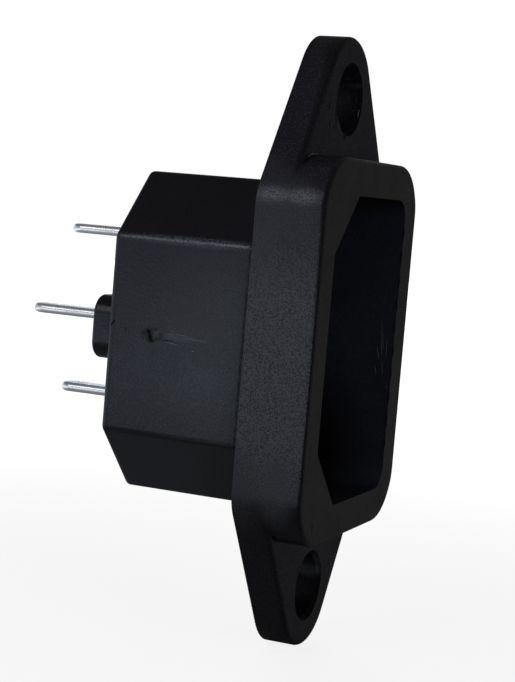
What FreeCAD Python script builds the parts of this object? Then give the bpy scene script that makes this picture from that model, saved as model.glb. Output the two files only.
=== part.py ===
import FreeCAD, Part
import math
import os

# Panel-mount power inlet with three poles: one black moulding and three folded contacts.
# Millimetres. The mouth faces -Y, the ears stand along Z, and the bevelled side of the mouth is -X.
# The origin is the middle of the flange's rear face, the face that lies on the panel (Y = 0).

# Flange with its two ears
SCREW_SPACING = 40.0
SCREW_HOLE_D = 5.2
SCREW_HOLE_BREAK = 0.35
FLANGE_T = 2.8
FLANGE_HALF_W = 11.3
EAR_TIP_R = 5.0
EAR_TAPER = math.radians(33.7)
EAR_BLEND_R = 3.5
EAR_APEX = SCREW_SPACING / 2 + EAR_TIP_R / math.sin(EAR_TAPER)
EAR_START = EAR_APEX - FLANGE_HALF_W / math.tan(EAR_TAPER)

# Raised rim round the mouth
RIM_FRONT = -5.7
RIM_HALF_H = 15.2
RIM_CORNER_R = 4.5
EDGE_R = 0.4

# Mouth: a rectangle with its two corners on the -X side cut off
MOUTH_LEFT = -8.5
MOUTH_RIGHT = 8.2
MOUTH_HALF_H = 12.3
MOUTH_BEVEL = 4.6
MOUTH_CORNER_R = 1.8
MOUTH_BEVEL_R = 0.3
MOUTH_FLOOR = 10.2

# Shroud behind the panel, the same shape one wall thicker
BODY_LEFT = -10.4
BODY_RIGHT = 10.1
BODY_HALF_H = 13.0
BODY_BEVEL = 5.2
BODY_BEVEL_R = 0.8
BODY_CORNER_R = 3.4
BODY_REAR = 12.2
BODY_REAR_EDGE_R = 0.5

# Boss on the rear that the earth contact goes through
BOSS_LEFT = -9.5
BOSS_RIGHT = 1.6
BOSS_TOP = 2.75
BOSS_BOTTOM = -2.4
BOSS_CORNER_R = 1.5
BOSS_REAR = 14.1
BOSS_EDGE_R = 0.3

# Contacts: strip folded back on itself for the blade, one leaf running on as the solder tail
STRIP_T = 0.8
FOLD_GAP = 0.4
BLADE_T = 2 * STRIP_T + FOLD_GAP
BLADE_W = 4.0
BLADE_NOSE_R = 0.9
TAIL_W = 2.2
TAIL_EDGE_R = 0.36
POLE_Z = 7.0
POLE_X = 2.0
POLE_TIP = -0.4
POLE_TAIL_END = 22.6
EARTH_X = -2.0
EARTH_TIP = -2.2
EARTH_TAIL_END = 23.6

NEAR = 1e-6


def point(x, y, z):
    return FreeCAD.Vector(x, y, z)


def rounded_outline(corners, y):
    """Closed wire in the plane Y = y through corners (x, z, radius), each one rounded by an arc."""
    arcs = []
    for i, (x, z, radius) in enumerate(corners):
        here = point(x, y, z)
        before, after = corners[i - 1], corners[(i + 1) % len(corners)]
        back = (point(before[0], y, before[1]) - here).normalize()
        on = (point(after[0], y, after[1]) - here).normalize()
        half = back.getAngle(on) / 2
        setback = radius / math.tan(half)
        inward = (back + on).normalize() * (radius / math.sin(half) - radius)
        arcs.append((here + back * setback, here + inward, here + on * setback))
    edges = []
    for i, (start, middle, end) in enumerate(arcs):
        if start.distanceToPoint(end) > NEAR:
            edges.append(Part.Arc(start, middle, end).toShape())
        following = arcs[(i + 1) % len(arcs)][0]
        if end.distanceToPoint(following) > NEAR:
            edges.append(Part.LineSegment(end, following).toShape())
    return Part.Wire(edges)


def prism(corners, y_from, y_to):
    """Solid between two planes across Y, on an outline of rounded corners."""
    face = Part.Face(rounded_outline(corners, y_from))
    return face.extrude(point(0, y_to - y_from, 0))


def edges_in_plane(solid, y):
    """The solid's edges that lie wholly in the plane Y = y."""
    flat = []
    for edge in solid.Edges:
        box = edge.BoundBox
        if abs(box.YMin - y) < NEAR and abs(box.YMax - y) < NEAR:
            flat.append(edge)
    return flat


def bevelled_mouth(left, right, half_h, bevel, bevel_r, corner_r):
    """Corners of the six-sided mouth outline: two bevels on the left, two rounds on the right."""
    return [
        (right, -half_h, corner_r),
        (right, half_h, corner_r),
        (left + bevel, half_h, bevel_r),
        (left, half_h - bevel, bevel_r),
        (left, bevel - half_h, bevel_r),
        (left + bevel, -half_h, bevel_r),
    ]


def ear_plate():
    """Flange plate: straight sides that taper at both ends to a round about each screw hole."""
    plate = prism([
        (FLANGE_HALF_W, -EAR_START, EAR_BLEND_R),
        (FLANGE_HALF_W, EAR_START, EAR_BLEND_R),
        (0, EAR_APEX, EAR_TIP_R),
        (-FLANGE_HALF_W, EAR_START, EAR_BLEND_R),
        (-FLANGE_HALF_W, -EAR_START, EAR_BLEND_R),
        (0, -EAR_APEX, EAR_TIP_R),
    ], 0, -FLANGE_T)
    return plate.makeFillet(EDGE_R, edges_in_plane(plate, -FLANGE_T))


def rim():
    """Raised frame round the mouth: flush with the flange's sides, cut off square across the ears."""
    top_half_w = (EAR_APEX - RIM_HALF_H) * math.tan(EAR_TAPER)
    block = prism([
        (FLANGE_HALF_W, -EAR_START, EAR_BLEND_R),
        (FLANGE_HALF_W, EAR_START, EAR_BLEND_R),
        (top_half_w, RIM_HALF_H, RIM_CORNER_R),
        (-top_half_w, RIM_HALF_H, RIM_CORNER_R),
        (-FLANGE_HALF_W, EAR_START, EAR_BLEND_R),
        (-FLANGE_HALF_W, -EAR_START, EAR_BLEND_R),
        (-top_half_w, -RIM_HALF_H, RIM_CORNER_R),
        (top_half_w, -RIM_HALF_H, RIM_CORNER_R),
    ], 0, RIM_FRONT)
    return block.makeFillet(EDGE_R, edges_in_plane(block, RIM_FRONT))


def shroud():
    """Outside of the body behind the panel, with its rear edges rounded."""
    outline = bevelled_mouth(BODY_LEFT, BODY_RIGHT, BODY_HALF_H, BODY_BEVEL, BODY_BEVEL_R, BODY_CORNER_R)
    body = prism(outline, 0, BODY_REAR)
    return body.makeFillet(BODY_REAR_EDGE_R, edges_in_plane(body, BODY_REAR))


def boss():
    """Low oblong boss on the rear face."""
    block = prism([
        (BOSS_RIGHT, BOSS_BOTTOM, BOSS_CORNER_R),
        (BOSS_RIGHT, BOSS_TOP, BOSS_CORNER_R),
        (BOSS_LEFT, BOSS_TOP, BOSS_CORNER_R),
        (BOSS_LEFT, BOSS_BOTTOM, BOSS_CORNER_R),
    ], MOUTH_FLOOR, BOSS_REAR)
    return block.makeFillet(BOSS_EDGE_R, edges_in_plane(block, BOSS_REAR))


def mouth_space():
    """Space that the cord connector goes into."""
    outline = bevelled_mouth(
        MOUTH_LEFT, MOUTH_RIGHT, MOUTH_HALF_H, MOUTH_BEVEL, MOUTH_BEVEL_R, MOUTH_CORNER_R)
    return prism(outline, RIM_FRONT, MOUTH_FLOOR)


def screw_space(z):
    """Straight screw hole with its front edge broken."""
    radius = SCREW_HOLE_D / 2
    bore = Part.makeCylinder(radius, FLANGE_T, point(0, -FLANGE_T, z), point(0, 1, 0))
    edge = Part.makeCone(
        radius + SCREW_HOLE_BREAK, radius, SCREW_HOLE_BREAK, point(0, -FLANGE_T, z), point(0, 1, 0))
    return bore.fuse(edge)


def blade_slot(x, z, rear):
    """Slot through the base wall that grips one contact blade."""
    corner = point(x - BLADE_W / 2, MOUTH_FLOOR, z - BLADE_T / 2)
    return Part.makeBox(BLADE_W, rear - MOUTH_FLOOR, BLADE_T, corner)


def housing():
    solid = ear_plate().fuse([rim(), shroud(), boss()]).removeSplitter()
    spaces = [mouth_space()]
    for side in (1, -1):
        spaces.append(screw_space(side * SCREW_SPACING / 2))
        spaces.append(blade_slot(POLE_X, side * POLE_Z, BODY_REAR))
    spaces.append(blade_slot(EARTH_X, 0, BOSS_REAR))
    return solid.cut(spaces).removeSplitter()


def folded_side(tip, leaf_end, tail_end):
    """Side view of the strip: along the upper leaf, round the nose and back along the lower leaf."""
    outer, inner = BLADE_T / 2, FOLD_GAP / 2
    nose = tip + outer
    return Part.Face(Part.Wire([
        Part.LineSegment(point(0, tail_end, outer), point(0, nose, outer)).toShape(),
        Part.Arc(point(0, nose, outer), point(0, tip, 0), point(0, nose, -outer)).toShape(),
        Part.LineSegment(point(0, nose, -outer), point(0, leaf_end, -outer)).toShape(),
        Part.LineSegment(point(0, leaf_end, -outer), point(0, leaf_end, -inner)).toShape(),
        Part.LineSegment(point(0, leaf_end, -inner), point(0, nose, -inner)).toShape(),
        Part.Arc(point(0, nose, -inner), point(0, nose - inner, 0), point(0, nose, inner)).toShape(),
        Part.LineSegment(point(0, nose, inner), point(0, tail_end, inner)).toShape(),
        Part.LineSegment(point(0, tail_end, inner), point(0, tail_end, outer)).toShape(),
    ]))


def strip_plan(tip, leaf_end, tail_end):
    """Plan view of the strip: wide blade with rounded corners, shoulders, narrow tail with a round end."""
    half, tail = BLADE_W / 2, TAIL_W / 2
    corners = [
        (-half, tip, BLADE_NOSE_R),
        (half, tip, BLADE_NOSE_R),
        (half, leaf_end, 0),
        (tail, leaf_end, 0),
        (tail, tail_end, tail),
        (-tail, tail_end, tail),
        (-tail, leaf_end, 0),
        (-half, leaf_end, 0),
    ]
    plan = prism(corners, -BLADE_T / 2, BLADE_T / 2)
    plan.rotate(point(0, 0, 0), point(1, 0, 0), -90)
    return plan


def contact(x, z, tip, leaf_end, tail_end):
    """One contact: the folded strip cut to its plan, with the tail's edges coined round."""
    strip = folded_side(tip, leaf_end, tail_end).extrude(point(BLADE_W, 0, 0))
    strip.translate(point(-BLADE_W / 2, 0, 0))
    blank = strip.common(strip_plan(tip, leaf_end, tail_end)).Solids[0]
    tail_edges = []
    for edge in blank.Edges:
        box = edge.BoundBox
        if box.ZLength < NEAR and box.YMin > leaf_end - NEAR and box.YLength > NEAR:
            tail_edges.append(edge)
    solid = blank.makeFillet(TAIL_EDGE_R, tail_edges)
    solid.translate(point(x, 0, z))
    return solid


def save(node, shape):
    shape.Solids[0].exportStep("parts/" + node + ".step")


os.makedirs("parts", exist_ok=True)
save("housing", housing())
save("line_contact", contact(POLE_X, POLE_Z, POLE_TIP, BODY_REAR, POLE_TAIL_END))
save("neutral_contact", contact(POLE_X, -POLE_Z, POLE_TIP, BODY_REAR, POLE_TAIL_END))
save("earth_contact", contact(EARTH_X, 0, EARTH_TIP, BOSS_REAR, EARTH_TAIL_END))
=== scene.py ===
import bmesh
import bpy
import math
from mathutils import Matrix, Vector, noise


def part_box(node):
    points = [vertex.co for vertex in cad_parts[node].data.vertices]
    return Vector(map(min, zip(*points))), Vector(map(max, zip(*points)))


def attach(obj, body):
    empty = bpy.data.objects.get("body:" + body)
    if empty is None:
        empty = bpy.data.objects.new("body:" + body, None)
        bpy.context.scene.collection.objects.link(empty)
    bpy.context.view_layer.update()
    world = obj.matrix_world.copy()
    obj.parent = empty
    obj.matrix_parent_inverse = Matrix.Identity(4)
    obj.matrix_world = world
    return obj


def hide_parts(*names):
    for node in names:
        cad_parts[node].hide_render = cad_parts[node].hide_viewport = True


# Panel-mount power inlet: a black moulding with grained and satin faces, and plated contacts.
# Metres. The mouth faces -Y, the ears stand along Z, and the bevelled side is -X.

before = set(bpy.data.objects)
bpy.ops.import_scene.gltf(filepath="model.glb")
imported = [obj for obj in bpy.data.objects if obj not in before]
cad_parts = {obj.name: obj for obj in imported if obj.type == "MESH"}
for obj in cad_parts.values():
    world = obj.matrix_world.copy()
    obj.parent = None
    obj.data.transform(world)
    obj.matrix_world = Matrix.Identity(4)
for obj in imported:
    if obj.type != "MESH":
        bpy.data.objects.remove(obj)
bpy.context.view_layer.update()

# Places on the moulding, from model.glb where it gives them
MM = 0.001
HOUSING_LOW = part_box("housing")[0]
RIM_FRONT = HOUSING_LOW.y
EAR_FOOT = HOUSING_LOW.z
FLANGE_FRONT = -2.8 * MM
BODY_LEFT = -10.4 * MM
MOUTH_LEFT = -8.5 * MM
MOUTH_RIGHT = 8.2 * MM
MOUTH_HALF_H = 12.3 * MM
MOUTH_BEVEL = 4.6 * MM
MOUTH_FLOOR = 10.2 * MM
SCREW_Z = 20 * MM
SCREW_HOLE_R = 2.6 * MM
SCREW_HOLE_BREAK = 0.35 * MM

# The moulding gate's scar on the body's left face, in millimetres: its middle, half its size, the depth of
# the seat that is cut for it, and the number of points round it
GATE_Y = 8.22
GATE_Z = 0.12
GATE_HALF_Y = 1.02
GATE_HALF_Z = 0.64
SEAT_DEPTH = 0.45
SCAR_SPOKES = 80


# Node helpers

def node(tree, kind, inputs=None, **settings):
    """Add a node, set it up and wire or fill its inputs."""
    made = tree.nodes.new(kind)
    for name, value in settings.items():
        setattr(made, name, value)
    for name, value in (inputs or {}).items():
        socket = made.inputs[name]
        if isinstance(value, bpy.types.NodeSocket):
            tree.links.new(value, socket)
        else:
            socket.default_value = value
    return made


def math_node(tree, operation, first, second=0.0):
    """One step of arithmetic on values."""
    return node(tree, "ShaderNodeMath", {0: first, 1: second}, operation=operation).outputs[0]


def vector_node(tree, operation, inputs):
    """One step of arithmetic on vectors, with all its outputs."""
    return node(tree, "ShaderNodeVectorMath", inputs, operation=operation).outputs


def blend(tree, factor, first, second):
    """Mix of two colours or values read as colours."""
    mix = node(tree, "ShaderNodeMix", {0: factor, 6: first, 7: second}, data_type="RGBA")
    return mix.outputs[2]


def ramp(tree, value, low, high, to_low=0.0, to_high=1.0):
    """Smooth step of a value between two limits."""
    made = node(tree, "ShaderNodeMapRange", {
        "Value": value, "From Min": low, "From Max": high, "To Min": to_low, "To Max": to_high,
    }, interpolation_type="SMOOTHSTEP")
    return made.outputs["Result"]


def fade(tree, value, low, high):
    """Smooth fall from one at a value's low limit to nothing at its high one."""
    return ramp(tree, value, low, high, to_low=1.0, to_high=0.0)


def shader_group(name, inputs, outputs):
    """Empty shader node group with named inputs, each a value or a vector, and named value outputs."""
    tree = bpy.data.node_groups.new(name, "ShaderNodeTree")
    for label, default in {"Place": (0, 0, 0), **inputs}.items():
        kind = "NodeSocketVector" if isinstance(default, tuple) else "NodeSocketFloat"
        tree.interface.new_socket(label, in_out="INPUT", socket_type=kind).default_value = default
    for label in outputs:
        tree.interface.new_socket(label, in_out="OUTPUT", socket_type="NodeSocketFloat")
    return tree, tree.nodes.new("NodeGroupInput").outputs, tree.nodes.new("NodeGroupOutput").inputs


def use_group(tree, group, inputs):
    """Place a node group in a tree, and give its outputs."""
    return node(tree, "ShaderNodeGroup", inputs, node_tree=group).outputs


# Effects that several finishes share

def spark_grain():
    """Grain that a spark-eroded mould leaves: fine bumps in two sizes, with a few brighter grains."""
    tree, given, out = shader_group(
        "spark_grain", {"Fine": 7000.0, "Coarse": 3200.0, "Coarse Share": 0.4}, ["Height", "Glint"])
    fine = node(tree, "ShaderNodeTexNoise", {
        "Vector": given["Place"], "Scale": given["Fine"], "Detail": 1.0, "Roughness": 0.6}).outputs["Fac"]
    coarse = node(tree, "ShaderNodeTexNoise", {
        "Vector": given["Place"], "Scale": given["Coarse"], "Detail": 0.0}).outputs["Fac"]
    share = math_node(tree, "MULTIPLY", coarse, given["Coarse Share"])
    tree.links.new(math_node(tree, "ADD", fine, share), out["Height"])
    grains = node(tree, "ShaderNodeTexVoronoi", {
        "Vector": given["Place"], "Scale": given["Fine"]}).outputs
    chance = node(tree, "ShaderNodeSeparateColor", {0: grains["Color"]}).outputs[0]
    bright = ramp(tree, chance, low=0.25, high=1.0)
    core = fade(tree, grains["Distance"], low=0.2, high=0.6)
    tree.links.new(math_node(tree, "MULTIPLY", bright, core), out["Glint"])
    return tree


def handling_film():
    """Soft uneven film left by handling, in broad clouds."""
    tree, given, out = shader_group("handling_film", {"Cloud": 160.0}, ["Film"])
    cloud = node(tree, "ShaderNodeTexNoise", {
        "Vector": given["Place"], "Scale": given["Cloud"], "Detail": 4.0, "Roughness": 0.6})
    tree.links.new(ramp(tree, cloud.outputs["Fac"], low=0.35, high=0.7), out["Film"])
    return tree


def mark_and_painted_light_patch():
    """One patch, for real marks and wear and for painted light and shade: broken up, about a centre, with a
    half size along each axis.
    """
    tree, given, out = shader_group("mark_and_painted_light_patch", {
        "Centre": (0, 0, 0), "Half Size": (MM, MM, MM), "Broken": 1.0, "Flecks": 5000.0, "Solid": 0.3,
    }, ["Patch"])
    away = vector_node(tree, "SUBTRACT", {0: given["Place"], 1: given["Centre"]})["Vector"]
    away = vector_node(tree, "DIVIDE", {0: away, 1: given["Half Size"]})["Vector"]
    reach = vector_node(tree, "LENGTH", {0: away})["Value"]
    flecks = node(tree, "ShaderNodeTexNoise", {
        "Vector": given["Place"], "Scale": given["Flecks"], "Detail": 2.0}).outputs["Fac"]
    lost = math_node(tree, "MULTIPLY", fade(tree, flecks, low=0.35, high=0.6), given["Broken"])
    kept = math_node(tree, "SUBTRACT", 1.0, lost)
    patch = fade(tree, reach, given["Solid"], 1.0)
    tree.links.new(math_node(tree, "MULTIPLY", patch, kept), out["Patch"])
    return tree


GRAIN = spark_grain()
FILM = handling_film()
PATCH = mark_and_painted_light_patch()


# Finishes

# How much duller the film makes a black face, and how much glossier a bright grain is
FILM_DULLING = 0.08
GLINT_POLISH = 0.15


def blank_finish(name, **uniform):
    """Material with a Principled shader whose uniform numbers are set on its own sockets."""
    material = bpy.data.materials.new(name)
    material.use_nodes = True
    tree = material.node_tree
    shader = tree.nodes["Principled BSDF"]
    for label, value in uniform.items():
        shader.inputs[label.replace("_", " ")].default_value = value
    place = node(tree, "ShaderNodeTexCoord").outputs["Object"]
    return material, tree, shader, place


def patch_kind(colour, dulling=0.0, broken=0.5, flecks=9000.0, solid=0.3):
    """Kind of patch: its colour, how much duller it is than the face round it, how broken up it is and
    how finely, and the share of its half size that is solid before it fades."""
    return colour, dulling, broken, flecks, solid


def lay_patches(tree, place, colour, dulled, patches):
    """Lay patches over a finish, each with its kind, centre and half size in millimetres."""
    for (tint, dulling, broken, flecks, solid), centre, half_size in patches:
        patch = use_group(tree, PATCH, {
            "Place": place, "Centre": Vector(centre) * MM, "Half Size": Vector(half_size) * MM,
            "Broken": broken, "Flecks": flecks, "Solid": solid})["Patch"]
        colour = blend(tree, patch, colour, tint)
        dulled = math_node(tree, "ADD", dulled, math_node(tree, "MULTIPLY", patch, dulling))
    return colour, dulled


def black_moulding(name, base, film_tint, sparkle, rough, grain_depth, fine, coarse,
                   gloss=0.4, painted_tones=(), patches=()):
    """Black thermoplastic: film in colour and gloss, painted tones of light and shade under the grain, and
    patches over it.
    """
    material, tree, shader, place = blank_finish(name, Specular_IOR_Level=gloss)
    grain = use_group(tree, GRAIN, {"Place": place, "Fine": fine, "Coarse": coarse})
    film = use_group(tree, FILM, {"Place": place})["Film"]
    colour = blend(tree, film, base, film_tint)
    dulled = ramp(tree, film, 0.0, 1.0, rough, rough + FILM_DULLING)
    colour, dulled = lay_patches(tree, place, colour, dulled, painted_tones)
    brighter = ramp(tree, grain["Glint"], 0.0, 1.0, 1.0, sparkle)
    colour = vector_node(tree, "SCALE", {0: colour, "Scale": brighter})["Vector"]
    polish = math_node(tree, "MULTIPLY", grain["Glint"], GLINT_POLISH)
    dulled = math_node(tree, "SUBTRACT", dulled, polish)
    colour, dulled = lay_patches(tree, place, colour, dulled, patches)
    tree.links.new(colour, shader.inputs["Base Color"])
    tree.links.new(dulled, shader.inputs["Roughness"])
    bump = node(tree, "ShaderNodeBump", {
        "Strength": 1.0, "Distance": grain_depth, "Height": grain["Height"]})
    tree.links.new(bump.outputs["Normal"], shader.inputs["Normal"])
    return material


def torn_plastic(name, base, film_tint, sparkle, rough, grain_depth, patches=()):
    """Black plastic that was torn, drawn out, squeezed out or scraped, with a grain of its own."""
    return black_moulding(
        name, base, film_tint, sparkle, rough, grain_depth, fine=5200.0, coarse=2400.0, patches=patches)


def plated_contact():
    """Bright plated strip: faint lines along the rolling direction and a thin stain here and there."""
    material, tree, shader, place = blank_finish("plated_contact", Metallic=0.85)
    along = node(tree, "ShaderNodeMapping", {"Vector": place, "Scale": (1.0, 0.03, 1.0)}).outputs[0]
    lines = node(tree, "ShaderNodeTexNoise", {
        "Vector": along, "Scale": 9000.0, "Detail": 2.0}).outputs["Fac"]
    film = use_group(tree, FILM, {"Place": place, "Cloud": 420.0})["Film"]
    colour = blend(tree, film, (0.97, 0.96, 0.93, 1), (0.88, 0.86, 0.81, 1))
    tree.links.new(colour, shader.inputs["Base Color"])
    dulled = ramp(tree, film, 0.0, 1.0, to_low=0.20, to_high=0.34)
    tree.links.new(dulled, shader.inputs["Roughness"])
    bump = node(tree, "ShaderNodeBump", {"Strength": 0.5, "Distance": 0.002 * MM, "Height": lines})
    tree.links.new(bump.outputs["Normal"], shader.inputs["Normal"])
    return material


# Dark marks: real scuffs on the ears, rim and body, and painted shade at a screw hole's left chamfer, along
# the flange's root and in the gate scar's slit
SCUFFS_AND_SHADE = patch_kind((0.0004, 0.0004, 0.0005, 1), dulling=0.3, flecks=4000.0)
# Painted shade: deep in the mouth, on its lower wall and on the body's rear edge round
SHADED = patch_kind((0.0006, 0.0005, 0.0006, 1), dulling=0.2, broken=0.1, flecks=4000.0)
# Painted shade: a dim tone for flat faces and lower sides, while edge rounds keep the darker base
PAINTED_DIM_TONE = patch_kind((0.0022, 0.0020, 0.0039, 1), solid=0.8)
# Painted light: a lighter tone for upper sides and the rim's top end
PAINTED_LIT_TONE = patch_kind((0.0041, 0.0037, 0.0064, 1), solid=0.8)
# Painted light on the rim's front face, and pale rough patches high in the upper screw hole
PAINTED_LIGHT_AND_PALE_PATCH = patch_kind((0.0069, 0.0069, 0.0070, 1), broken=0.3)
# Painted light: the top bevel lighter towards the flange, and a soft highlight in the lower screw hole
PAINTED_SOFT_LIGHT = patch_kind((0.0070, 0.0063, 0.0094, 1), broken=0.3, flecks=6000.0)
# Painted light falling off where the lit flange side turns into the ear blends
PAINTED_LIGHT_FALLOFF = patch_kind((0.0103, 0.0114, 0.0139, 1), broken=0.6, flecks=7000.0)
# Painted shade: a duller patch round the gate scar in the left face's painted reflection
PAINTED_DIM_REFLECTION = patch_kind((0.0080, 0.0089, 0.0112, 1), broken=0.3, flecks=6000.0)
# Painted light on the lower rim corner, and a painted highlight in the lower screw hole
PAINTED_LIGHT_PATCH = patch_kind((0.0142, 0.0158, 0.0188, 1))
# Painted reflection across the body's left face
PAINTED_REFLECTION = patch_kind((0.0182, 0.0200, 0.0233, 1))
# Painted sheen on the flange side's face
PAINTED_SIDE_SHEEN = patch_kind((0.0275, 0.0300, 0.0345, 1), broken=0.75, flecks=8200.0)
WHITENED = patch_kind((0.0170, 0.0194, 0.0230, 1), dulling=-0.06, broken=0.62, flecks=4600.0)
# Wear and painted highlight: on the body's upper edge and the flange's blend band
WEAR_AND_PAINTED_HIGHLIGHT = patch_kind((0.0261, 0.0324, 0.0388, 1), dulling=-0.06, broken=0.85, flecks=5600.0)

GRAINED = black_moulding(
    "black_moulding_grained", (0.0011, 0.0009, 0.0015, 1), (0.0015, 0.0012, 0.0020, 1),
    sparkle=4.8, rough=0.40, grain_depth=0.018 * MM, fine=7200.0, coarse=3400.0, painted_tones=[
        # Painted light and shade under the grain: a dim tone on the ear fronts, the rear, the lower ear
        # sides and the rim's sides, a lighter one on the upper ear sides and the rim's top end
        (PAINTED_DIM_TONE, (0, -2.8, 0), (40, 0.10, 40)),
        (PAINTED_DIM_TONE, (0, 0, 0), (40, 0.10, 40)),
        (PAINTED_DIM_TONE, (0, -1.0, -20), (40, 1.60, 15)),
        (PAINTED_LIT_TONE, (0, -1.0, 14.5), (40, 1.60, 11.5)),
        (PAINTED_DIM_TONE, (0, -4.25, -6), (40, 1.40, 20)),
        (PAINTED_LIT_TONE, (0, -4.25, 16), (40, 1.40, 8)),
    ], patches=[
        # Painted light: the rim's front face lighter than the ear fronts in its shade
        (PAINTED_LIGHT_AND_PALE_PATCH, (0, -5.7, 0), (40, 0.10, 40)),
        # Painted sheen: the flange side's face lighter, as the light falls on it
        (PAINTED_SIDE_SHEEN, (-11.3, -2.8, -1.8), (0.10, 40, 15)),
        # Painted light on the lower rim corner, where the flange side's light runs down
        (PAINTED_LIGHT_PATCH, (-11.3, -3.5, -11.0), (2.0, 2.1, 4.2)),
        # Painted light falling off into the lower and upper ear blends
        (PAINTED_LIGHT_FALLOFF, (-10.8, -0.7, -10.8), (3.0, 2.1, 4.6)),
        (PAINTED_LIGHT_FALLOFF, (-11.0, -2.7, 11.4), (2.6, 2.8, 3.7)),
        (PAINTED_LIGHT_FALLOFF, (-10.8, -0.7, 11.4), (3.0, 2.1, 6.6)),
        # Painted highlight along the flange's blend band where it turns to the upper ear
        *((WEAR_AND_PAINTED_HIGHLIGHT, (-11.15, y, 11.9), (0.6, 1.75, 0.95)) for y in (-1.3, -3.8)),
        *((WHITENED, (-11.3, -5.35, z), (0.16, 0.16, 0.24)) for z in (9.1, 4.3, 2.0, -2.45, -6.9)),
        # Painted shade on the upper screw hole's left chamfer; the next ones are real scuffs on the ear and
        # the rim's front
        (SCUFFS_AND_SHADE, (-2.85, -2.8, 19.4), (0.60, 0.4, 2.5)),
        (SCUFFS_AND_SHADE, (-4.70, -2.8, 19.1), (0.22, 0.4, 0.55)),
        (SCUFFS_AND_SHADE, (-4.30, -2.8, 17.8), (0.20, 0.4, 0.42)),
        (SCUFFS_AND_SHADE, (-3.35, -2.8, 17.6), (0.20, 0.4, 0.20)),
        (SCUFFS_AND_SHADE, (-0.65, -2.8, 16.95), (0.42, 0.4, 0.28)),
        (SCUFFS_AND_SHADE, (-8.30, -5.7, -13.5), (0.20, 0.4, 0.70)),
        (SCUFFS_AND_SHADE, (-2.10, -5.7, -14.5), (0.16, 0.4, 0.35)),
    ])
SATIN = black_moulding(
    "black_moulding_satin", (0.0035, 0.0029, 0.0047, 1), (0.0042, 0.0035, 0.0056, 1),
    sparkle=1.8, rough=0.25, grain_depth=0.008 * MM, fine=6000.0, coarse=3400.0, gloss=0.38, patches=[
        # Painted light on the top bevel, lighter towards the flange
        (PAINTED_SOFT_LIGHT, (-8.0, -0.5, 10.3), (6.0, 6.0, 5.0)),
        # Painted reflection: a broad light across the body's left face
        (PAINTED_REFLECTION, (-10.4, -2.0, -1.6), (0.12, 14.5, 13.5)),
        # Painted shade: a duller patch round the gate scar within the left face's painted reflection
        (PAINTED_DIM_REFLECTION, (-10.4, 7.4, -1.7), (0.12, 3.4, 2.3)),
        # Painted shade on the rear edge's round, made duller so that it mirrors less
        (SHADED, (-10.2, 12.0, 0), (0.6, 0.55, 40)),
        # Wear and painted highlight along the body's upper edge
        (WEAR_AND_PAINTED_HIGHLIGHT, (-10.35, 4.0, 7.72), (0.60, 11, 0.55)),
        (WHITENED, (-10.4, 5.6, 0.1), (0.4, 2.6, 0.42)),
        (SCUFFS_AND_SHADE, (-10.4, 10.57, 0.27), (0.4, 0.12, 0.40)),
        (SCUFFS_AND_SHADE, (-10.4, 6.9, -0.20), (0.4, 0.95, 0.11)),
        # Painted shade along the flange's root on the body's left face
        (SCUFFS_AND_SHADE, (-10.4, 0.45, 0.0), (0.3, 0.28, 30)),
    ])
# Mouth: its own lighter, bluer copy of the moulding is painted light for what reaches into the mouth, with
# painted shade deep inside and on its lower wall
MOUTH = black_moulding(
    "black_moulding_mouth", (0.0052, 0.0060, 0.0096, 1), (0.0064, 0.0074, 0.0114, 1),
    sparkle=1.6, rough=0.45, grain_depth=0.014 * MM, fine=5000.0, coarse=2600.0, gloss=0.25, patches=[
        (SHADED, (8.2, 2.5, -11.0), (3.0, 8.0, 11.0)),
        (SHADED, (0, -1.0, -12.3), (10, 6, 1.4)),
    ])
# Screw holes: a darker, duller copy of the moulding, its dark base painted shade inside the holes; pale
# rough patches high in the upper hole
BORE = black_moulding(
    "black_moulding_bore", (0.0007, 0.0006, 0.0009, 1), (0.0010, 0.0009, 0.0013, 1),
    sparkle=3.0, rough=0.60, grain_depth=0.030 * MM, fine=4200.0, coarse=1800.0, gloss=0.15, patches=[
        # Painted highlight: a lit band on the lower hole's upper wall
        (PAINTED_LIGHT_PATCH, (2.45, -1.75, -19.15), (0.8, 1.7, 0.95)),
        (PAINTED_SOFT_LIGHT, (1.90, -2.30, -18.20), (1.2, 1.5, 0.90)),
        (PAINTED_LIGHT_AND_PALE_PATCH, (2.20, -2.30, 21.30), (0.8, 1.2, 0.30)),
        (PAINTED_LIGHT_AND_PALE_PATCH, (1.85, -1.90, 21.85), (0.5, 0.6, 0.25)),
    ])
TORN = torn_plastic(
    "black_moulding_torn", (0.0024, 0.0024, 0.0027, 1), (0.0036, 0.0036, 0.0039, 1),
    sparkle=4.0, rough=0.45, grain_depth=0.020 * MM)
SCARRED = torn_plastic(
    "black_moulding_scarred", (0.0067, 0.0074, 0.0091, 1), (0.0091, 0.0100, 0.0121, 1),
    sparkle=2.0, rough=0.45, grain_depth=0.020 * MM, patches=[
        (WHITENED, (-10.4, 7.72, 0.22), (0.5, 0.55, 0.45)),
        # Painted shade in the gate scar's slit
        (SCUFFS_AND_SHADE, (-10.4, 8.44, 0.0), (0.5, 0.22, 0.55)),
    ])
DRAWN = torn_plastic(
    "black_moulding_drawn", (0.0379, 0.0430, 0.0509, 1), (0.0430, 0.0485, 0.0564, 1),
    sparkle=1.3, rough=0.42, grain_depth=0.010 * MM)
# Pale ridge plastic, its colour a painted highlight, for the rim's foot and a screw hole's lip
FLASH_AND_GLINT = torn_plastic(
    "black_moulding_flash_and_glint", (0.0279, 0.0303, 0.0348, 1), (0.0333, 0.0361, 0.0409, 1),
    sparkle=1.4, rough=0.42, grain_depth=0.010 * MM)
SCRATCHED = torn_plastic(
    "black_moulding_scratched", (0.0206, 0.0236, 0.0315, 1), (0.0242, 0.0279, 0.0364, 1),
    sparkle=1.4, rough=0.42, grain_depth=0.010 * MM)
PLATED = plated_contact()


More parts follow.
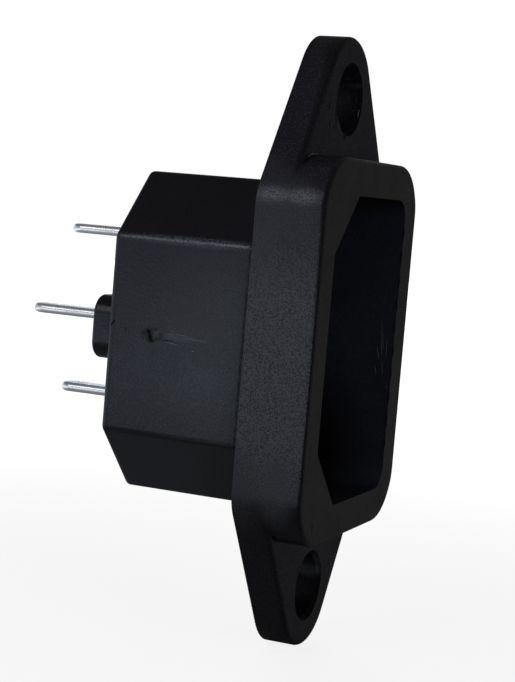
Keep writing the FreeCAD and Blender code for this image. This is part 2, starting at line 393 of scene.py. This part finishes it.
# Moulding and contacts, as smooth-shaded copies of the CAD solids

# Points closer than this are one, facets flatter than this are one face, and edges sharper than this show
MERGE_DISTANCE = 0.5e-6
FLAT_ANGLE = math.radians(0.3)
SHARP_ANGLE = math.radians(16)

# How far a face's middle may lie past the planes that its finish is told by
FACE_GAP = 0.05 * MM

# Nick in the rear edge, in millimetres
NICK_Y = 11.78
NICK_Z = 0.71
NICK_HALF_SIZE = (0.16, 0.08, 0.36)
NICK_TURN = math.radians(35)


def put_in_scene(name, data):
    """New object for a mesh, lamp or camera."""
    holder = bpy.data.objects.new(name, data)
    bpy.context.scene.collection.objects.link(holder)
    return holder


def smooth_copy(name, cad_node):
    """Closed copy of a CAD solid with its doubles merged and each flat made one face."""
    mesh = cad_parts[cad_node].data.copy()
    mesh.name = name
    mesh.materials.clear()
    shell = bmesh.new()
    shell.from_mesh(mesh)
    bmesh.ops.remove_doubles(shell, verts=shell.verts, dist=MERGE_DISTANCE)
    bmesh.ops.dissolve_limit(shell, angle_limit=FLAT_ANGLE, verts=shell.verts, edges=shell.edges)
    shell.to_mesh(mesh)
    shell.free()
    return put_in_scene(name, mesh)


def settle(piece):
    """Turn a piece with modifiers into a plain mesh."""
    graph = bpy.context.evaluated_depsgraph_get()
    mesh = bpy.data.meshes.new_from_object(piece.evaluated_get(graph), depsgraph=graph)
    piece.modifiers.clear()
    piece.data = mesh


def shade(piece):
    """Smooth shading inside each face, weighted so that flats stay flat beside their rounds."""
    piece.data.shade_smooth()
    piece.data.set_sharp_from_angle(angle=SHARP_ANGLE)
    piece.modifiers.new("flats", "WEIGHTED_NORMAL").keep_sharp = True
    settle(piece)


def join_object(piece, slot_name, *cad_nodes):
    """Let a finished piece ride on the part, in place of its CAD solids. Its slot name is not used."""
    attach(piece, "root")
    if cad_nodes:
        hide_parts(*cad_nodes)


def cut_marks(piece):
    """Cut what lies below the faces: the seat of the gate's scar and a nick in the rear edge."""
    shell = bmesh.new()
    face = BODY_LEFT / MM
    seat = Matrix.Translation(Vector((face, GATE_Y, GATE_Z)) * MM) @ Matrix.Rotation(math.pi / 2, 4, "Y")
    bmesh.ops.create_cone(
        shell, cap_ends=True, segments=SCAR_SPOKES, radius1=MM, radius2=MM, depth=2 * SEAT_DEPTH * MM,
        matrix=seat @ Matrix.Diagonal((GATE_HALF_Z, GATE_HALF_Y, 1, 1)))
    nick = Matrix.Translation(Vector((face, NICK_Y, NICK_Z)) * MM) @ Matrix.Rotation(NICK_TURN, 4, "X")
    bmesh.ops.create_icosphere(
        shell, subdivisions=3, radius=MM, matrix=nick @ Matrix.Diagonal((*NICK_HALF_SIZE, 1)))
    mesh = bpy.data.meshes.new("marks")
    shell.to_mesh(mesh)
    shell.free()
    mesh.shade_smooth()
    mesh.materials.append(TORN)
    cutter = put_in_scene("marks", mesh)
    cut = piece.modifiers.new("marks", "BOOLEAN")
    cut.object = cutter
    cut.operation = "DIFFERENCE"
    cut.solver = "EXACT"
    cut.use_self = True
    cut.material_mode = "TRANSFER"
    settle(piece)
    bpy.data.objects.remove(cutter)


def in_mouth(place):
    """Whether a place on the moulding is on the mouth's walls, floor or bevels."""
    return (RIM_FRONT + FACE_GAP < place.y < MOUTH_FLOOR + FACE_GAP
            and MOUTH_LEFT - FACE_GAP < place.x < MOUTH_RIGHT + FACE_GAP
            and abs(place.z) < MOUTH_HALF_H + FACE_GAP
            and abs(place.z) - place.x < MOUTH_HALF_H - MOUTH_BEVEL - MOUTH_LEFT + FACE_GAP)


def in_screw_hole(place):
    """Whether a place on the moulding is inside one of the screw holes."""
    return (FLANGE_FRONT + FACE_GAP < place.y < -FACE_GAP
            and math.hypot(place.x, abs(place.z) - SCREW_Z) < SCREW_HOLE_R + SCREW_HOLE_BREAK)


def moulding():
    """The housing, grained in front of the panel, satin behind it, with marks cut into it."""
    piece = smooth_copy("moulding", "housing")
    for material in (GRAINED, SATIN, MOUTH, BORE):
        piece.data.materials.append(material)
    cut_marks(piece)
    shade(piece)
    kinds = [material.name for material in piece.data.materials]
    grained, satin, mouth, bore, torn = (kinds.index(m.name) for m in (GRAINED, SATIN, MOUTH, BORE, TORN))
    for face in piece.data.polygons:
        # The mouth and the screw holes take their own copies, lighter and darker, as painted light and
        # shade
        if in_mouth(face.center):
            face.material_index = mouth
        elif in_screw_hole(face.center):
            face.material_index = bore
        elif face.material_index != torn:
            face.material_index = satin if face.center.y > FACE_GAP else grained
    join_object(piece, "black_moulding", "housing")


def contacts():
    """The three folded contacts, each with its blade and its solder tail."""
    for cad_node in ("line_contact", "neutral_contact", "earth_contact"):
        piece = smooth_copy(cad_node.replace("contact", "blade"), cad_node)
        shade(piece)
        piece.data.materials.append(PLATED)
        join_object(piece, "plated_contact", cad_node)


# Small torn, drawn and scratched marks on the moulding, and pale ridges whose colour is a painted highlight

def ridge_tree():
    """Geometry nodes: a thin ridge along each drawn line, ragged and thinning out at both ends."""
    tree = bpy.data.node_groups.new("ragged_ridges", "GeometryNodeTree")
    sockets = tree.interface
    sizes = {"Width": 0.06 * MM, "Ragged": 0.02 * MM, "Step": 0.06 * MM, "Grain": 3000.0}
    sockets.new_socket("Geometry", in_out="INPUT", socket_type="NodeSocketGeometry")
    for label, default in sizes.items():
        sockets.new_socket(label, in_out="INPUT", socket_type="NodeSocketFloat").default_value = default
    sockets.new_socket("Seed", in_out="INPUT", socket_type="NodeSocketInt").default_value = 1
    sockets.new_socket("Material", in_out="INPUT", socket_type="NodeSocketMaterial")
    sockets.new_socket("Geometry", in_out="OUTPUT", socket_type="NodeSocketGeometry")
    given = tree.nodes.new("NodeGroupInput").outputs
    lines = node(tree, "GeometryNodeMeshToCurve", {"Mesh": given["Geometry"]}).outputs["Curve"]
    lines = node(tree, "GeometryNodeResampleCurve", {
        "Curve": lines, "Length": given["Step"]}, mode="LENGTH").outputs["Curve"]
    wander = node(tree, "ShaderNodeTexNoise", {
        "Scale": given["Grain"], "W": given["Seed"], "Detail": 2.0}, noise_dimensions="4D").outputs
    swing = vector_node(tree, "SUBTRACT", {0: wander["Color"], 1: (0.5, 0.5, 0.5)})["Vector"]
    swing = vector_node(tree, "SCALE", {0: swing, "Scale": given["Ragged"]})["Vector"]
    lines = node(tree, "GeometryNodeSetPosition", {
        "Geometry": lines, "Offset": swing}).outputs["Geometry"]
    along = tree.nodes.new("GeometryNodeSplineParameter").outputs["Factor"]
    rest = math_node(tree, "SUBTRACT", 1.0, along)
    bulge = math_node(tree, "MULTIPLY", math_node(tree, "MULTIPLY", along, rest), 4.0)
    taper = math_node(tree, "SQRT", bulge)
    uneven = ramp(tree, wander["Fac"], low=0.3, high=0.7, to_low=0.5, to_high=1.1)
    size = math_node(tree, "MULTIPLY", math_node(tree, "MULTIPLY", taper, uneven), given["Width"])
    profile = node(tree, "GeometryNodeCurvePrimitiveCircle", {"Resolution": 7, "Radius": 0.5})
    swept = node(tree, "GeometryNodeCurveToMesh", {
        "Curve": lines, "Profile Curve": profile.outputs["Curve"], "Scale": size, "Fill Caps": True})
    whole = node(tree, "GeometryNodeRealizeInstances", {"Geometry": swept.outputs["Mesh"]})
    dressed = node(tree, "GeometryNodeSetMaterial", {
        "Geometry": whole.outputs["Geometry"], "Material": given["Material"]})
    tree.links.new(dressed.outputs["Geometry"], tree.nodes.new("NodeGroupOutput").inputs["Geometry"])
    return tree


RIDGES = ridge_tree()


def ridges(name, lines, material, **sizes):
    """One piece of ragged ridges along lines given as points in millimetres."""
    points, edges = [], []
    for line in lines:
        first = len(points)
        points += [Vector(p) * MM for p in line]
        edges += [(i, i + 1) for i in range(first, len(points) - 1)]
    mesh = bpy.data.meshes.new(name)
    mesh.from_pydata(points, edges, [])
    piece = put_in_scene(name, mesh)
    maker = piece.modifiers.new("ridges", "NODES")
    maker.node_group = RIDGES
    sockets = {s.name: s.identifier for s in RIDGES.interface.items_tree if s.in_out == "INPUT"}
    maker[sockets["Material"]] = material
    for label, value in sizes.items():
        maker[sockets[label]] = value
    settle(piece)
    piece.data.shade_smooth()
    join_object(piece, "black_moulding")


# The gate's scar: its rings of points, the angle that shows as a crease, and its plug's reach, as a
# share of the seat's half size
SCAR_RINGS = 30
SCAR_CREASE = math.radians(60)
SCAR_REACH = 1.06
# Its forms, in millimetres: how far its edge lies below the face, the bowl, the slit and the stub.
# The bowl fades between two shares of the scar's half size, and the slit between two heights.
SCAR_SINK = 0.008
BOWL_DEPTH = 0.03
BOWL_FADE = (0.70, 1.0)
SLIT_Y = 8.44
SLIT_LEAN = 0.42
SLIT_HALF_W = 0.13
SLIT_DEPTH = 0.30
SLIT_FADE = (0.30, 0.60)
STUB_Y = 7.74
STUB_Z = 0.20
STUB_HALF_Y = 0.42
STUB_HALF_Z = 0.34
STUB_HEIGHT = 0.12
# Torn lumps in two sizes: their height, their place in the noise and how many come to the millimetre
TORN_LUMPS = ((0.06, 2, 3.5), (0.04, 5, 8))


def step(value, low, high):
    """Smooth step of a number between two limits."""
    share = min(max((value - low) / (high - low), 0.0), 1.0)
    return share * share * (3 - 2 * share)


def scar_height(y, z):
    """Height of the gate's scar over the face: a rough shallow bowl, a torn slit and the stub beside it."""
    reach = math.hypot((y - GATE_Y) / GATE_HALF_Y, (z - GATE_Z) / GATE_HALF_Z)
    across = (y - SLIT_Y - SLIT_LEAN * z) / SLIT_HALF_W
    slit = math.exp(-across ** 2) * (1 - step(abs(z), *SLIT_FADE))
    stub = math.exp(-((y - STUB_Y) / STUB_HALF_Y) ** 2 - ((z - STUB_Z) / STUB_HALF_Z) ** 2)
    rough = sum(high * noise.noise(Vector((at, y, z)) * per_mm) for high, at, per_mm in TORN_LUMPS)
    form = STUB_HEIGHT * stub - SLIT_DEPTH * slit - BOWL_DEPTH + rough
    return (1 - step(reach, *BOWL_FADE)) * form - SCAR_SINK


def gate_scar():
    """Scar where the gate was torn off, on a plug that fills its seat in the face."""
    shell = bmesh.new()
    face = BODY_LEFT / MM
    turns = [math.tau * spoke / SCAR_SPOKES for spoke in range(SCAR_SPOKES)]
    rings = []
    for ring in range(1, SCAR_RINGS + 1):
        reach = SCAR_REACH * ring / SCAR_RINGS
        around = []
        for turn in turns:
            y = GATE_Y + reach * GATE_HALF_Y * math.cos(turn)
            z = GATE_Z + reach * GATE_HALF_Z * math.sin(turn)
            around.append(shell.verts.new(Vector((face - scar_height(y, z), y, z)) * MM))
        rings.append(around)
    foot = face * MM + SEAT_DEPTH * MM
    rings.append([shell.verts.new(Vector((foot, edge.co.y, edge.co.z))) for edge in rings[-1]])
    middle = shell.verts.new(Vector((face - scar_height(GATE_Y, GATE_Z), GATE_Y, GATE_Z)) * MM)
    for spoke in range(SCAR_SPOKES):
        after = (spoke + 1) % SCAR_SPOKES
        shell.faces.new((middle, rings[0][spoke], rings[0][after]))
        for inner, outer in zip(rings, rings[1:]):
            shell.faces.new((inner[spoke], outer[spoke], outer[after], inner[after]))
    shell.faces.new(rings[-1])
    bmesh.ops.recalc_face_normals(shell, faces=shell.faces)
    mesh = bpy.data.meshes.new("gate_scar")
    shell.to_mesh(mesh)
    shell.free()
    mesh.shade_smooth()
    mesh.set_sharp_from_angle(angle=SCAR_CREASE)
    mesh.materials.append(SCARRED)
    join_object(put_in_scene("gate_scar", mesh), "black_moulding")


def gate_streaks():
    """Plastic drawn out from the gate towards the flange."""
    x = BODY_LEFT / MM + 0.02
    ridges("gate_streaks", [
        [(x, 6.95, 0.27), (x, 6.60, 0.31), (x, 6.25, 0.33)],
        [(x, 6.15, 0.39), (x, 5.60, 0.34), (x, 5.05, 0.27)],
        [(x, 5.80, 0.18), (x, 4.60, 0.11), (x, 3.45, 0.05)],
        [(x, 6.68, 0.58), (x, 6.40, 0.50)],
        [(x, 7.20, -0.29), (x, 6.50, -0.37), (x, 5.85, -0.44)],
        [(x, 6.50, 0.11), (x, 6.15, 0.03)],
        [(x, 4.85, -0.77), (x, 4.40, -0.78)],
        [(x, 3.70, 1.74), (x, 3.56, 1.69)],
    ], DRAWN, Width=0.16 * MM, Ragged=0.05 * MM)


def wall_scratches():
    """Fine scratches on the mouth's straight wall, where the cord connector rubs."""
    x = MOUTH_RIGHT / MM + 0.01
    ridges("wall_scratches", [
        [(x, -4.65, 1.0), (x, -4.80, -0.7)],
        [(x, -4.20, -0.3), (x, -4.50, -1.5)],
        [(x, -4.15, -2.0), (x, -4.40, -2.85)],
        [(x, -4.85, -1.6), (x, -4.90, -2.9)],
        [(x, -5.20, -3.2), (x, -5.45, -3.9)],
        [(x, -4.42, 2.3), (x, -4.60, 0.2), (x, -4.72, -2.2)],
        [(x, -5.05, 0.6), (x, -5.10, -1.3)],
    ], SCRATCHED, Width=0.075 * MM, Ragged=0.03 * MM)


def edge_flash_and_glints():
    """Thin flash left by the mould at the mouth's straight edge, and thin ridges at the rim's foot and a
    screw hole's lip, pale as a painted highlight.
    """
    side = MOUTH_RIGHT / MM
    edge = RIM_FRONT / MM + 0.01
    mouth_edge = [[(side, edge, z), (side, edge, z - 1.1)] for z in range(-8, 11, 2)]
    ridges("mouth_edge_flash", mouth_edge, TORN, Width=0.15 * MM, Ragged=0.22 * MM)
    foot = FLANGE_FRONT / MM
    ridges("rim_foot_flash_and_glint", [
        [(-8.50, foot, 14.85), (-7.78, foot, 15.14), (-7.00, foot, 15.26), (-6.10, foot, 15.26)],
    ], FLASH_AND_GLINT, Width=0.10 * MM, Ragged=0.06 * MM)
    lip = foot + 0.16
    ridges("screw_hole_lip_and_glint", [
        [(2.74, lip, 19.45), (2.64, lip, 19.10), (2.47, lip, 18.70)],
    ], FLASH_AND_GLINT, Width=0.10 * MM, Ragged=0.03 * MM)


moulding()
gate_scar()
gate_streaks()
wall_scratches()
edge_flash_and_glints()
contacts()


# Studio

WHITE = (1, 1, 1, 1)
WINDOW_LIGHT = (1.12, 1.30, 1.60, 1)
ROOM_LIGHT = (0.11, 0.106, 0.102, 1)
ROOM_MIRRORED = (0.070, 0.069, 0.067, 1)
FLOOR_GREY = (0.085, 0.085, 0.085, 1)
FLOOR_HALF = 3.0
# Light that the floor throws back on matt faces, the window's share in the wall's light, and how much more
# of the room's light matt faces get than gloss mirrors
FLOOR_THROWN_BACK = 0.19
WALL_SHARE = 0.28
ROOM_GAIN = 3.3

# Lamps: the way to the window and its tint, and the tint of the lamps that fill the shade
WINDOW_WAY = (-0.82, 0.37, 0.45)
WINDOW_TINT = (0.92, 0.89, 1.0)
FILL_TINT = (1.0, 0.98, 0.95)

# Camera as fitted to the photograph's view of the part: lens, sensor and place in millimetres
LENS = 88.0
SENSOR = 36.0
NEAREST_SEEN = 5 * MM
CAMERA_PLACE = (-127.94, -48.91, 11.31)
CAMERA_WAY = (0.92203, 0.37793, -0.08380)
CAMERA_ROLL = math.radians(4.776)


def seen_rays(tree, rays):
    """One for rays from the camera, straight or through something clear."""
    return math_node(tree, "MAXIMUM", rays["Is Camera Ray"], rays["Is Transmission Ray"])


def floor():
    """Pale floor under the lower ear: white where it is seen, greyer round the part as a painted shadow,
    and in gloss a painted pool of light behind the part and a faint one under the body."""
    material, tree, shader, place = blank_finish(
        "pale_floor", Base_Color=FLOOR_GREY, Roughness=0.9, Specular_IOR_Level=0.0)
    rays = node(tree, "ShaderNodeLightPath").outputs
    axes = node(tree, "ShaderNodeSeparateXYZ", {0: place}).outputs
    away = vector_node(tree, "LENGTH", {0: place})["Value"]
    # Painted light and shadow for gloss: a pool of light on the floor behind and left of the part, dark
    # near it, and a faint one under the body
    behind = ramp(tree, axes["Y"], low=0.02, high=0.12)
    leftward = ramp(tree, axes["X"], low=-0.1, high=0.1, to_low=1.0, to_high=0.6)
    near = ramp(tree, away, low=0.25, high=0.50, to_low=1.0, to_high=0.18)
    pale = math_node(tree, "MULTIPLY", math_node(tree, "MULTIPLY", behind, leftward), near)
    painted_light_under_body = ramp(tree, axes["Y"], low=0.002, high=0.012, to_low=0.0, to_high=0.060)
    pale = math_node(tree, "MAXIMUM", pale, painted_light_under_body)
    mirrored = math_node(tree, "MULTIPLY", rays["Is Glossy Ray"], pale)
    tint = blend(tree, rays["Is Glossy Ray"], WHITE, WINDOW_LIGHT)
    tree.links.new(tint, shader.inputs["Emission Color"])
    # Painted shadow: where the camera sees it, the floor greys towards the part
    painted_shadow = ramp(tree, away, low=0.03, high=0.15, to_low=0.84, to_high=1.0)
    seen = math_node(tree, "MULTIPLY", seen_rays(tree, rays), painted_shadow)
    thrown_back = math_node(tree, "MULTIPLY", rays["Is Diffuse Ray"], FLOOR_THROWN_BACK)
    glow = math_node(tree, "MAXIMUM", math_node(tree, "MAXIMUM", seen, mirrored), thrown_back)
    tree.links.new(glow, shader.inputs["Emission Strength"])
    mesh = bpy.data.meshes.new("floor")
    sides = ((-1, -1), (1, -1), (1, 1), (-1, 1))
    corners = [(x * FLOOR_HALF, y * FLOOR_HALF, EAR_FOOT) for x, y in sides]
    mesh.from_pydata(corners, [], [(0, 1, 2, 3)])
    mesh.materials.append(material)
    put_in_scene("floor", mesh)


def surroundings():
    """White where the camera sees it; as light, a pale wall behind the part and a dim room before it."""
    world = bpy.data.worlds.new("studio")
    bpy.context.scene.world = world
    world.use_nodes = True
    tree = world.node_tree
    back = tree.nodes["Background"]
    rays = node(tree, "ShaderNodeLightPath").outputs
    toward = node(tree, "ShaderNodeTexCoord").outputs["Generated"]
    axes = node(tree, "ShaderNodeSeparateXYZ", {0: toward}).outputs
    behind = ramp(tree, axes["Y"], low=-0.25, high=0.6)
    rightward = ramp(tree, axes["X"], low=-0.4, high=0.3, to_low=1.0, to_high=2.2)
    level = fade(tree, math_node(tree, "ABSOLUTE", axes["Z"]), low=0.1, high=0.5)
    wall = math_node(tree, "MULTIPLY", math_node(tree, "MULTIPLY", behind, rightward), level)
    wall_share = math_node(tree, "MULTIPLY", wall, WALL_SHARE)
    room = blend(tree, rays["Is Diffuse Ray"], ROOM_MIRRORED, ROOM_LIGHT)
    light = blend(tree, wall_share, room, WINDOW_LIGHT)
    tree.links.new(blend(tree, seen_rays(tree, rays), light, WHITE), back.inputs["Color"])
    gain = ramp(tree, rays["Is Diffuse Ray"], 0.0, 1.0, 1.0, ROOM_GAIN)
    tree.links.new(gain, back.inputs["Strength"])


def softbox(name, toward, colour, power, distance, size, mirrored=True):
    """Square soft lamp that looks at the part from a direction, mirrored in its gloss or not."""
    lamp = bpy.data.lights.new(name, "AREA")
    lamp.energy = power
    lamp.color = colour
    lamp.size = size
    way = Vector(toward).normalized()
    holder = put_in_scene(name, lamp)
    holder.location = way * distance
    holder.rotation_euler = way.to_track_quat("Z", "Y").to_euler()
    holder.visible_glossy = mirrored


def camera():
    """Camera at the photograph's angle, rolled a little so that the part leans."""
    view = bpy.data.cameras.new("camera")
    view.lens = LENS
    view.sensor_width = SENSOR
    view.clip_start = NEAREST_SEEN
    turn = Vector(CAMERA_WAY).to_track_quat("-Z", "Y").to_matrix().to_4x4()
    roll = Matrix.Rotation(CAMERA_ROLL, 4, "Z")
    holder = put_in_scene("camera", view)
    holder.matrix_world = Matrix.Translation(Vector(CAMERA_PLACE) * MM) @ turn @ roll
    bpy.context.scene.camera = holder


floor()
surroundings()
softbox("window_lamp", WINDOW_WAY, WINDOW_TINT, power=0.28, distance=0.5, size=0.2)
softbox("window_fill", WINDOW_WAY, WINDOW_TINT, power=0.64, distance=0.5, size=0.2, mirrored=False)
softbox("room_fill", (-0.45, -0.88, 0.15), FILL_TINT, power=5.3, distance=0.7, size=0.5, mirrored=False)
softbox("far_fill", (0.84, 0.52, 0.15), FILL_TINT, power=7.9, distance=0.7, size=0.4, mirrored=False)
camera()
bpy.context.scene.view_settings.view_transform = "Standard"
